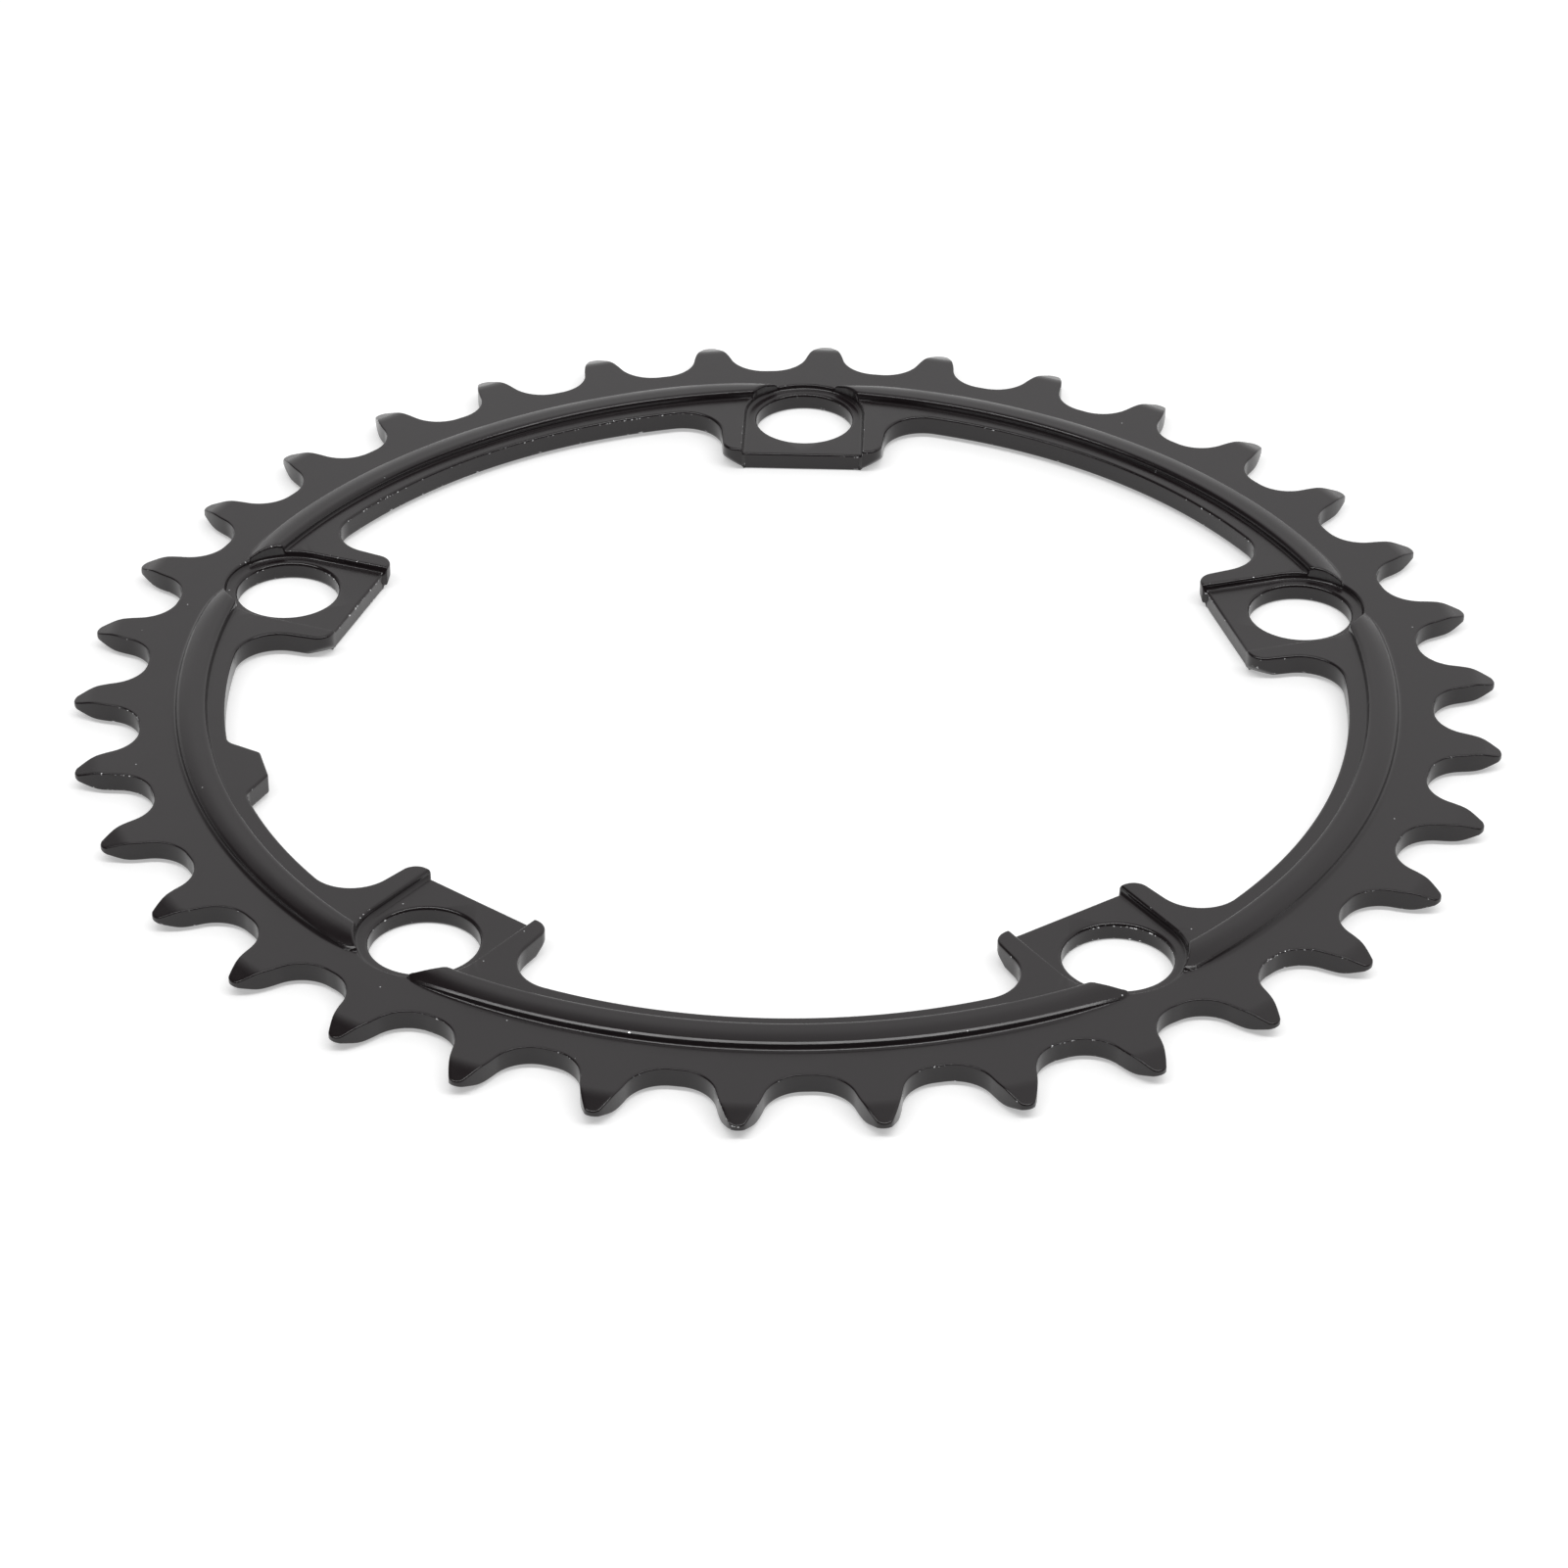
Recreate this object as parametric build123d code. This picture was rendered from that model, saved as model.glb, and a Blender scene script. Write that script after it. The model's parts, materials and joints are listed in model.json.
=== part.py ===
from build123d import *
import math
import os

os.makedirs("parts", exist_ok=True)

# A one-piece inner chainring lying flat with its ribbed face up, in millimetres and degrees.
# The origin is on the ring's axis, level with the backs of the bolt pads.
# One bolt hole is on +X and the key tab is on -X.

# Bolt circle, which sets the size of the ring
bolt_count = 5
bolt_circle = 110.0
bolt_hole_diameter = 10.5

# Teeth: as many as fit round a pitch circle that is larger than the bolt circle by a margin
pitch_circle_margin = 27.6
chain_pitch = 12.7
roller_seat_radius = 3.9
gap_flat = 0.8
gap_extra_depth = 0.27
flank_lean = 12.0
tooth_addendum = 2.58
tip_width = 1.4
tip_crown = 0.28
tip_thickness = 0.55
tip_bevel_length = 2.0
tooth_phase = -3.69

# Plate: its inner edge is just outside the bolt circle, and the band inside the rib stands a little
# above the toothed part
pad_height = 0.45
plate_thickness = 2.0
band_rise = 0.17
rim_margin = 1.2

# Rib: five arcs, each struck from a point beyond the axis, so that it is flatter than the ring.
# Its top rolls down in a shoulder turned round the ring's axis, where the arcs' outer walls run out
# toward their ends.
rib_inset = 3.18
rib_center_offset = 3.7
rib_width = 2.96
rib_height = 0.95
rib_foot_bevel = 0.3
rib_edge_bevel = 0.25
shoulder_inset = 4.25
shoulder_radius = 1.0
shoulder_facets = 3
rib_gap = 6.0
rib_corner_radius = 1.5

# Bolt tabs: a sunk seat between two ears on the front, a raised pad on the back
tab_reach = 7.95
tab_width = 17.0
tab_flare = 5.0
tab_root_radius = 4.3
ear_overhang = 0.4
ear_nose_radius = 1.7
seat_width = 13.0
seat_thickness = 1.9
seat_foot_radius = 0.45
pad_width = 12.6
pad_side_angle = 45.0

# Bevel on the backs of the ears' corners, turned round the bolt hole just clear of the pad
corner_bevel_clearance = 0.05
corner_bevel_angle = 45.0
corner_bevel_length = 2.5
corner_bevel_sweep = 120.0

# Key tab, which sets the ring's turn on the crank
key_height = 2.95
key_width = 4.2
key_flank_angle = 45.0
key_root_radius = 1.5
key_corner_radius = 0.6

# How far cuts run past the faces that they open
overrun = 1.0

# The most that a root fillet takes of the side that it runs into, and how near a corner is to count as
# on the inner edge
fillet_share = 0.8
rim_tolerance = 0.01

# Sizes that follow from those above
tooth_count = round(math.pi * (bolt_circle + pitch_circle_margin) / chain_pitch)
half_pitch = 180 / tooth_count
pitch_radius = chain_pitch / 2 / math.sin(math.radians(half_pitch))
root_radius = pitch_radius - roller_seat_radius - gap_extra_depth
tip_radius = pitch_radius + tooth_addendum
bevel_start_radius = tip_radius - tip_bevel_length
bevel_slope = (plate_thickness - tip_thickness) / 2 / tip_bevel_length
bevel_apex_radius = bevel_start_radius + plate_thickness / 2 / bevel_slope
plate_back = pad_height
plate_front = plate_back + plate_thickness
plate_middle = (plate_back + plate_front) / 2
band_front = plate_front + band_rise
rib_top = plate_front + rib_height
bolt_radius = bolt_circle / 2
bolt_step = 360 / bolt_count
inner_radius = bolt_radius + rim_margin
rib_middle_radius = inner_radius + rib_inset
rib_arc_radius = rib_middle_radius + rib_center_offset
shoulder_start = inner_radius + shoulder_inset
shoulder_turn = math.acos(1 - min(rib_height / shoulder_radius, 1))
tab_end_radius = bolt_radius - tab_reach
ear_end_radius = tab_end_radius - ear_overhang
tab_side_end = math.sqrt(inner_radius**2 - (tab_width / 2) ** 2)
tab_side = tab_side_end - ear_end_radius - ear_nose_radius
tab_root_fillet = min(tab_root_radius, tab_side * fillet_share)
key_end_radius = inner_radius - key_height
pad_spread = pad_height / math.tan(math.radians(pad_side_angle))
above_all = rib_top + overrun


def round_the_axis(shape, count, first_angle=0.0):
    """Equally spaced copies of a shape round the ring's axis."""
    return [Rot(Z=first_angle + i * 360 / count) * shape for i in range(count)]


def rounded(face, chosen, radius):
    """A face with the chosen corners rounded."""
    return fillet(face.vertices().filter_by(chosen), radius)


def tooth_outline():
    """The toothed edge: roller seats joined by flank arcs and rounded tips."""
    flat_end = Vector(root_radius, -gap_flat / 2).rotate(Axis.Z, half_pitch)
    flat_start = Vector(root_radius, gap_flat / 2).rotate(Axis.Z, half_pitch)
    seat_center = Vector(root_radius + roller_seat_radius, -gap_flat / 2).rotate(Axis.Z, half_pitch)
    flank_start = seat_center + Vector(0, -roller_seat_radius).rotate(Axis.Z, -flank_lean)
    tip_corner = Vector(tip_radius - tip_crown, tip_width / 2)
    tip_other = Vector(tip_radius - tip_crown, -tip_width / 2)
    flat = Line(flat_start, flat_end)
    seat = TangentArc(flat_end, flank_start, tangent=flat % 1)
    flank = TangentArc(flank_start, tip_corner, tangent=seat % 1)
    tip = ThreePointArc(tip_corner, Vector(tip_radius, 0), tip_other)
    tooth = [flat, seat, flank, tip, flank.mirror(Plane.XZ), seat.mirror(Plane.XZ)]
    edges = []
    for i in range(tooth_count):
        turn = tooth_phase + i * 2 * half_pitch
        edges += [edge.rotate(Axis.Z, turn) for edge in tooth]
    return make_face(edges)


def flared_tab(end_radius, end_width, flare):
    """A tab on +X reaching in from the ring, widening outward by its flare angle."""
    reach = inner_radius + overrun - end_radius
    root_half = end_width / 2 + reach * math.tan(math.radians(flare))
    end_low = (end_radius, -end_width / 2)
    end_high = (end_radius, end_width / 2)
    root_high = (end_radius + reach, root_half)
    root_low = (end_radius + reach, -root_half)
    return make_face(Polyline(end_low, end_high, root_high, root_low, close=True))


def bolt_tab():
    """A bolt tab's outline, whose straight end lies between two round-nosed ears."""
    tab = flared_tab(ear_end_radius, tab_width, tab_flare)
    tab = rounded(tab, lambda v: v.X < tab_end_radius, ear_nose_radius)
    return tab - Pos(X=ear_end_radius) * Rectangle(2 * ear_overhang, seat_width)


def key_tab():
    """The key tab's outline, with its end corners rounded."""
    tab = flared_tab(key_end_radius, key_width, key_flank_angle)
    tab = rounded(tab, lambda v: v.X < inner_radius, key_corner_radius)
    return Rot(Z=180) * tab


def inner_opening():
    """The opening in the middle, with the tabs standing into it and rounded at their roots."""
    opening = Circle(inner_radius) - round_the_axis(bolt_tab(), bolt_count) - key_tab()

    def at_rim(v):
        return abs(math.hypot(v.X, v.Y) - inner_radius) < rim_tolerance

    def at_key(v):
        return at_rim(v) and v.X < 0 and abs(v.Y) < key_width / 2 + 2 * key_height

    opening = rounded(opening, at_key, key_root_radius)
    return rounded(opening, lambda v: at_rim(v) and not at_key(v), tab_root_fillet)


def lens():
    """The plate as a disc, bevelled on both faces toward the tooth tips."""
    section = Polyline(
        (0, plate_back),
        (bevel_start_radius, plate_back),
        (bevel_apex_radius, plate_middle),
        (bevel_start_radius, plate_front),
        (0, plate_front),
        close=True,
    )
    return revolve(Plane.XZ * make_face(section), Axis.Z)


def band():
    """The raised band, as a disc out to the middle of the rib."""
    return extrude(Pos(Z=plate_middle) * Circle(rib_middle_radius), amount=band_front - plate_middle)


def shoulder():
    """The disc that the ribs are cut from, whose top rolls down in facets to the toothed part."""
    turns = [shoulder_turn * i / shoulder_facets for i in range(shoulder_facets + 1)]
    roll = [
        (shoulder_start + shoulder_radius * math.sin(turn), rib_top - shoulder_radius * (1 - math.cos(turn)))
        for turn in turns
    ]
    section = [(0, plate_middle), (0, rib_top)] + roll + [(roll[-1][0], plate_middle)]
    return revolve(Plane.XZ * make_face(Polyline(*section, close=True)), Axis.Z)


def rib_section():
    """The rib's cross-section, bevelled at the foot of its outer wall and at its inner edge."""
    inner_wall = rib_arc_radius - rib_width / 2
    outer_wall = rib_arc_radius + rib_width / 2
    corners = [
        (outer_wall + rib_foot_bevel, plate_middle),
        (outer_wall + rib_foot_bevel, plate_front),
        (outer_wall, plate_front + rib_foot_bevel),
        (outer_wall, rib_top),
        (inner_wall + rib_edge_bevel, rib_top),
        (inner_wall, rib_top - rib_edge_bevel),
        (inner_wall, plate_middle),
    ]
    return make_face(Polyline(*corners, close=True))


def rib_arc():
    """One arc of the rib, with its middle on +X and its ends clear of the bolt tabs' middle lines."""
    half_step = bolt_step / 2
    wedge_start = rib_gap / 2 / math.sin(math.radians(half_step))
    wedge_end = Vector(2 * tip_radius, 0).rotate(Axis.Z, half_step) + Vector(wedge_start, 0)
    wedge = make_face(Polyline((wedge_start, 0), wedge_end, (wedge_end.X, -wedge_end.Y), close=True))
    reach = rib_width / 2 + rib_foot_bevel
    circles = Circle(rib_arc_radius + reach) - Circle(rib_arc_radius - reach)
    footprint = wedge & Pos(X=-rib_center_offset) * circles
    footprint = rounded(footprint, lambda v: math.hypot(v.X, v.Y) > rib_middle_radius, rib_corner_radius)
    band_of_rib = Pos(X=-rib_center_offset) * revolve(Plane.XZ * rib_section(), Axis.Z)
    return band_of_rib & extrude(footprint, amount=above_all) & shoulder()


def u_shape(half_section, length):
    """A half section swept round a bolt hole and on toward the middle of the ring."""
    round_end = revolve(Plane.XZ * half_section, Axis.Z)
    section = Plane.YZ * (half_section + mirror(half_section, Plane.YZ))
    return Pos(X=bolt_radius) * (round_end + extrude(section, amount=-length))


def pad():
    """The raised pad on the back of a bolt tab, with sloping sides."""
    half = pad_width / 2
    foot = half + pad_spread
    slope = [(0, 0), (half, 0), (foot, plate_back)]
    sides = Polyline(*slope, (foot, plate_middle), (0, plate_middle), close=True)
    return u_shape(make_face(sides), tab_reach)


def seat_cut():
    """What is cut away for a crank arm's end: a flat floor with a hollow fillet at the foot of its wall."""
    half = seat_width / 2
    floor = Line((0, seat_thickness), (half - seat_foot_radius, seat_thickness))
    hollow = TangentArc(floor @ 1, (half, seat_thickness + seat_foot_radius), tangent=(1, 0))
    sides = Polyline(hollow @ 1, (half, above_all), (0, above_all), floor @ 0)
    return u_shape(make_face([floor, hollow] + sides.edges()), tab_reach + overrun)


def corner_bevel():
    """What is cut away from the backs of a bolt tab's ears: a cone round the bolt hole."""
    start = math.hypot(tab_reach, pad_width / 2 + pad_spread) + corner_bevel_clearance
    rise = corner_bevel_length * math.tan(math.radians(corner_bevel_angle))
    high = (start + corner_bevel_length, plate_back + rise)
    low = (start + corner_bevel_length, plate_back)
    section = make_face(Polyline((start, plate_back), high, low, close=True))
    cone = revolve(Plane.XZ * section, Axis.Z, corner_bevel_sweep)
    return Pos(X=bolt_radius) * Rot(Z=180 - corner_bevel_sweep / 2) * cone


def bolt_hole():
    """A bolt hole through a tab."""
    return Pos(X=bolt_radius) * Cylinder(bolt_hole_diameter / 2, 2 * above_all)


def chainring():
    """The whole ring as one solid."""
    blank = lens() + band()
    blank += round_the_axis(rib_arc(), bolt_count, bolt_step / 2)
    blank += round_the_axis(pad(), bolt_count)
    plan = tooth_outline() - inner_opening()
    ring = blank & extrude(Pos(Z=-overrun) * plan, amount=above_all + overrun)
    for cut in (seat_cut(), bolt_hole(), corner_bevel()):
        ring -= round_the_axis(cut, bolt_count)
    return ring


export_step(chainring().solid(), "parts/chainring.step")
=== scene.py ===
import cmath
import json
import math

import bpy
import numpy as np
from bpy.props import FloatProperty, FloatVectorProperty, IntProperty, PointerProperty
from mathutils import Matrix, Vector
from mathutils.geometry import delaunay_2d_cdt


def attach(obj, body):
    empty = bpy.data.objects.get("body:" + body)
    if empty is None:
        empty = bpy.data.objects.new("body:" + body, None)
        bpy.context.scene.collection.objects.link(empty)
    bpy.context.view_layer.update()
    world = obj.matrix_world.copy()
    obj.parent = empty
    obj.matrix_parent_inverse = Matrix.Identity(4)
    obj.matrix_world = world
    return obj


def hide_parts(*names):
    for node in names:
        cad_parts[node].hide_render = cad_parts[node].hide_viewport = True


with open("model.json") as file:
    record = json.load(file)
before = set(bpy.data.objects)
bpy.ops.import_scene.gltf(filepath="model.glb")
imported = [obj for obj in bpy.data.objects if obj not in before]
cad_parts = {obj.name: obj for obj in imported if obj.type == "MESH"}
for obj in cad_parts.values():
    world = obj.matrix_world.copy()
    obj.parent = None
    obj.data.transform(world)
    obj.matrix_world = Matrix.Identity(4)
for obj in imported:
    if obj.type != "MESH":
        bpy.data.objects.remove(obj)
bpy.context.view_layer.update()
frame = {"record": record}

bl_info = {
    "name": "Bicycle chainring",
    "version": (1, 0, 0),
    "blender": (4, 5, 0),
    "location": "View3D > Sidebar > Chainring",
    "description": "Builds a satin black chainring with rounded edges, and the studio that it lies in",
    "category": "Object",
}

NODE = "chainring"
BOLTS = next(m for m in frame["record"]["mounts"] if m["name"] == "crank_bolts")["dims"]
MM = 0.001

# Points on plan that are closer than this, in millimetres, are one point.
PLAN_MERGE = 1e-4

# The facets of a small curve may leave it by this share of its radius.
SMALL_CURVE_ERROR = 0.004

# The line where the ears' bevel starts turns this far to each side of a tab's middle line.
CORNER_SWEEP = math.pi / 3

# Points that are tested in one go, which limits the memory in use.
POINT_BATCH = 2000

# Most of a noise texture lies between these values.
NOISE_LOW = 0.3
NOISE_HIGH = 0.7

# Width in millimetres of the film frame that the lens is given for.
FILM_WIDTH = 36

# Plan points are complex numbers, with X as the real part and Y as the imaginary part.
# In the functions that shape the ring, s is its RingShape, whose lengths are in millimetres.


def length(label, about, millimetres):
    """A length that a user can change."""
    return FloatProperty(name=label, description=about, default=millimetres * MM, precision=5, unit="LENGTH")


def angle(label, about, degrees):
    """An angle that a user can change."""
    return FloatProperty(name=label, description=about, default=math.radians(degrees), unit="ROTATION")


def share(label, about, value):
    """A plain number that a user can change."""
    return FloatProperty(name=label, description=about, default=value)


def colour(label, about, value):
    """A colour that a user can change."""
    return FloatVectorProperty(
        name=label,
        description=about,
        default=value,
        size=3,
        subtype="COLOR",
        min=0,
        max=1,
    )


class ChainringSizes(bpy.types.PropertyGroup):
    """Sizes of the ring."""

    tooth_count: IntProperty(name="Teeth", description="Number of teeth", default=34)
    chain_pitch: length("Chain pitch", "Distance between chain rollers", 12.7)
    roller_seat_radius: length("Roller seat radius", "Radius of the hollow that a roller sits in", 3.9)
    gap_flat: length("Gap flat", "Flat stretch at the bottom of a tooth gap", 0.8)
    gap_extra_depth: length("Gap extra depth", "Depth of a gap past the roller's own", 0.27)
    flank_lean: angle("Flank lean", "How far a seat's arc stops short of the tooth's middle line", 12.0)
    tooth_addendum: length("Addendum", "Height of a tooth past the pitch circle", 2.58)
    tip_width: length("Tip width", "Width of a tooth's rounded tip", 1.4)
    tip_crown: length("Tip crown", "Height of the tip's arc", 0.28)
    tip_thickness: length("Tip thickness", "Thickness left at a tip between its bevels", 0.55)
    tip_bevel_length: length("Tip bevel length", "Radial length of the bevels on the teeth", 2.0)
    tooth_phase: angle("Tooth phase", "Turn of the first tooth from the bolt hole on +X", -3.69)

    pad_height: length("Pad height", "How far the pads stand out of the back", 0.45)
    plate_thickness: length("Plate thickness", "Thickness of the toothed part", 2.0)
    band_rise: length("Band rise", "How far the band inside the rib stands above the toothed part", 0.17)
    inner_radius: length("Inner radius", "Radius of the opening between the tabs", 56.2)

    rib_inset: length("Rib inset", "Distance from the inner edge to the rib's middle", 3.18)
    rib_center_offset: length("Rib center offset", "How far beyond the axis a rib arc is struck from", 3.7)
    rib_width: length("Rib width", "Width of the rib between its walls", 2.96)
    rib_height: length("Rib height", "Height of the rib above the toothed part", 0.95)
    shoulder_drop: length("Shoulder drop", "How far the rib's top rolls down toward its outer wall", 0.34)
    shoulder_width: length("Shoulder width", "Width of that roll", 1.7)
    shoulder_end_width: length("Shoulder end width", "How much wider the roll is at a rib's ends", 0.7)
    shoulder_run: length("Shoulder run", "How far from a rib's end the wider roll dies away", 3.2)
    rib_foot_radius: length("Rib foot radius", "Hollow fillet at the foot of the rib's outer wall", 0.5)
    rib_foot_reach: length("Rib foot reach", "How far from the rib's outline that fillet may end", 0.6)
    rib_inner_foot_radius: length("Rib inner foot radius", "Hollow fillet at the inner wall's foot", 0.15)
    rib_edge_radius: length("Rib edge radius", "Rounding of the rib's inner top edge", 0.5)
    rib_wall_angle: angle("Rib wall angle", "Slope of the rib's outer wall", 68)
    rib_chamfer: length("Rib chamfer", "Width of the chamfer along the rib's outer top edge", 0.22)
    rib_chamfer_angle: angle("Rib chamfer angle", "Lean of that chamfer against the roll", 19)
    rib_chamfer_blend: length("Rib chamfer blend", "Half width of the soft line where it starts", 0.03)
    rib_middle_inset: length("Rib middle inset", "Distance from an edge to the top's last line", 1.332)
    rib_gap: length("Rib gap", "Distance between the ends of two rib arcs", 6.0)
    rib_corner_radius: length("Rib corner radius", "Rounding of a rib end's outer corner on plan", 1.5)

    bolt_count: IntProperty(name="Bolts", description="Number of bolt tabs", default=BOLTS["count"])
    bolt_circle: length("Bolt circle", "Diameter of the circle that the bolt holes lie on", BOLTS["pcd_mm"])
    bolt_hole_radius: length("Bolt hole radius", "Radius of a bolt hole", BOLTS["hole_r_mm"])
    tab_reach: length("Tab reach", "Distance from a bolt hole's middle to the tab's end", 7.95)
    tab_width: length("Tab width", "Width of a tab at its end", 17.0)
    tab_flare: angle("Tab flare", "Lean of each of the tab's sides", 5.0)
    tab_root_radius: length("Tab root radius", "Rounding where a tab meets the inner edge", 4.3)
    ear_overhang: length("Ear overhang", "How far the ears stand past the tab's end", 0.4)
    ear_nose_radius: length("Ear nose radius", "Rounding of the ears' outer corners", 1.7)
    seat_width: length("Seat width", "Width of the sunk seat between the ears", 13.0)
    seat_thickness: length("Seat thickness", "Thickness of metal under the seat", 1.9)
    seat_foot_radius: length("Seat foot radius", "Hollow fillet at the foot of the seat's wall", 0.45)
    pad_width: length("Pad width", "Width of the pad on a tab's back", 12.6)
    corner_bevel_clearance: length("Corner bevel clearance", "Gap from the pad to the ears' bevel", 0.05)

    key_height: length("Key height", "How far the key tab stands in from the inner edge", 2.95)
    key_width: length("Key width", "Width of the key tab's end", 4.2)
    key_flank_angle: angle("Key flank angle", "Lean of the key tab's sides", 45.0)
    key_root_radius: length("Key root radius", "Rounding where the key tab meets the inner edge", 1.5)
    key_corner_radius: length("Key corner radius", "Rounding of the key tab's end corners", 0.6)

    bevel_blend: length("Bevel blend", "Half width of the soft line where a tooth's bevel starts", 0.6)
    tooth_edge: length("Tooth edge", "Rounding of the edges of the teeth", 0.14)
    inner_edge: length("Inner edge", "Rounding of the front edges of the opening and the seats", 0.25)
    hole_edge: length("Hole edge", "Rounding of the edges of the bolt holes", 0.35)
    wear_reach: length("Wear reach", "How far from an edge its wear reaches", 0.35)
    wall_lean: length("Wall lean", "How far a wall on the front leans over its height", 0.02)
    curve_error: length("Curve error", "How far a curve's facets may leave the true curve", 0.0035)
    crease: angle("Crease", "Edges that bend by more than this stay sharp", 35)
    edge_steps: IntProperty(name="Edge steps", description="Facets across a rounded edge", default=5)
    foot_steps: IntProperty(name="Foot steps", description="Facets across the rib's outer foot", default=8)
    top_steps: IntProperty(name="Top steps", description="Facets across half of the rib's top", default=4)


class ChainringLook(bpy.types.PropertyGroup):
    """Colours and finish of the ring."""

    anodised: colour("Anodised", "Colour of the dyed black surface", (0.0098, 0.0066, 0.0076))
    worn: colour("Worn", "Colour of bare metal in chips", (0.62, 0.62, 0.63))
    roughness: share("Roughness", "Roughness of the black surface", 0.22)
    unevenness: share("Unevenness", "How much the roughness varies", 0.03)
    gloss: share("Gloss", "Index of refraction of the black surface", 1.5)
    grain: share("Grain", "Strength of the fine grain", 0.05)
    edge_wear: share("Edge wear", "How much of the edges is chipped", 0.02)
    chip_level: share("Chip level", "What all the causes of a chip have to add up to", 1.32)
    chip_blend: share("Chip blend", "How softly a chip ends", 0.04)
    chip_depth: share("Chip depth", "Depth of a chip against the grain's", 2.0)
    edge_pull: share("Edge pull", "How much an edge adds toward a chip", 0.4)
    patch_pull: share("Patch pull", "How much a patch adds toward a chip", 0.5)
    grain_size: length("Grain size", "Width of the fine grain", 0.08)
    cloud_size: length("Cloud size", "Width of the patches of uneven gloss", 4.0)
    patch_size: length("Patch size", "Width of the patches where chips gather", 9.0)
    chip_size: length("Chip size", "Width of a chip on an edge", 0.3)
    speck_size: length("Speck size", "Width of a bright speck", 0.15)
    speck_spacing: length("Speck spacing", "Distance between the places for specks", 5.0)
    speck_rim: share("Speck rim", "Share of a speck's width that its soft rim takes", 0.1)
    speck_rarity: share("Speck rarity", "Share of the places for specks that have none", 0.88)
    speck_blend: share("Speck blend", "Share of the places whose specks are faint", 0.06)


class ChainringStage(bpy.types.PropertyGroup):
    """Camera and studio."""

    camera_turn: angle("Camera turn", "Direction from the ring to the camera, from +X", -106.118)
    camera_height: angle("Camera height", "Height of the camera over the floor", 33.861)
    camera_roll: angle("Camera roll", "Tilt of the camera", 0.246)
    camera_distance: length("Camera distance", "Distance from the camera to its target", 491.704)
    camera_near: length("Camera near", "Nearest distance that the camera sees", 10)
    camera_far: length("Camera far", "Furthest distance that the camera sees", 50000)
    camera_target: FloatVectorProperty(
        name="Camera target",
        description="Point on the floor in the middle of the view",
        default=(-4.184 * MM, -13.563 * MM, 0),
        unit="LENGTH",
    )
    lens: share("Lens", "Focal length in millimetres", 114.82)
    floor: colour("Floor", "Colour of the floor", (0.75, 0.75, 0.75))
    floor_size: length("Floor size", "Width of the floor", 12000)
    floor_glow: share("Floor glow", "What the floor adds to reach white", 0.41)
    card: share("Card", "Brightness of the white card behind the ring", 0.97)
    card_full: share("Card full", "Height up to which the card is white, where overhead is one", 0.5)
    card_end: share("Card end", "Height at which the card has faded out", 0.95)
    card_side: share("Card side", "Where its sides are white, from -1 at the camera to 1 behind", 0.1)
    card_side_end: share("Card side end", "Where its sides have faded out, on the same scale", -0.25)
    card_lean: angle("Card lean", "How far the card leans over the ring to the right", 45)
    room: share("Room", "Brightness of the dim room around", 0.08)
    softbox: share("Softbox", "Brightness of the soft lamp overhead", 8.0)
    softbox_turn: angle("Softbox turn", "Direction of the soft lamp, from +X", -108)
    softbox_height: angle("Softbox height", "Height of the soft lamp's middle over the floor", 73)
    softbox_distance: length("Softbox distance", "Distance of the soft lamp", 1200)
    softbox_width: length("Softbox width", "Width of the soft lamp", 2400)
    softbox_depth: length("Softbox depth", "Depth of the soft lamp", 230)


class RingShape:
    """The ring's sizes in millimetres and radians, with those that follow from them."""

    def __init__(self, sizes):
        for name in sizes.__annotations__:
            value = getattr(sizes, name)
            is_length = sizes.bl_rna.properties[name].unit == "LENGTH"
            setattr(self, name, value / MM if is_length else value)
        self.half_pitch = math.pi / self.tooth_count
        self.pitch_radius = self.chain_pitch / 2 / math.sin(self.half_pitch)
        self.root_radius = self.pitch_radius - self.roller_seat_radius - self.gap_extra_depth
        self.tip_radius = self.pitch_radius + self.tooth_addendum
        self.bevel_start = self.tip_radius - self.tip_bevel_length
        self.bevel_slope = (self.plate_thickness - self.tip_thickness) / 2 / self.tip_bevel_length
        self.plate_back = self.pad_height
        self.plate_front = self.plate_back + self.plate_thickness
        self.band_front = self.plate_front + self.band_rise
        self.rib_top = self.plate_front + self.rib_height
        self.rib_arc_radius = self.inner_radius + self.rib_inset + self.rib_center_offset
        self.bolt_radius = self.bolt_circle / 2
        self.bolt_step = 2 * math.pi / self.bolt_count
        self.tab_end = self.bolt_radius - self.tab_reach
        self.ear_end = self.tab_end - self.ear_overhang
        self.key_end = self.inner_radius - self.key_height
        self.seat_half = self.seat_width / 2
        self.pad_foot = self.pad_width / 2 + self.pad_height
        self.corner_bevel_start = math.hypot(self.tab_reach, self.pad_foot) + self.corner_bevel_clearance

    def arc(self, center, start, turn):
        """Points of an arc round a center, after its starting point."""
        radius = abs(start - center)
        facet = 2 * math.acos(1 - min(self.curve_error / radius, SMALL_CURVE_ERROR))
        count = max(1, math.ceil(abs(turn) / facet))
        return [center + (start - center) * cmath.exp(1j * turn * i / count) for i in range(1, count + 1)]

    def arc_to(self, center, start, end):
        """Points of the shorter arc round a center from one point to another, after the first."""
        return self.arc(center, start, cmath.phase((end - center) / (start - center)))

    def around(self, line, first=0.0):
        """A line repeated at each tab."""
        turns = [cmath.exp(1j * (first + i * self.bolt_step)) for i in range(self.bolt_count)]
        return [[p * turn for p in line] for turn in turns]


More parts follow.
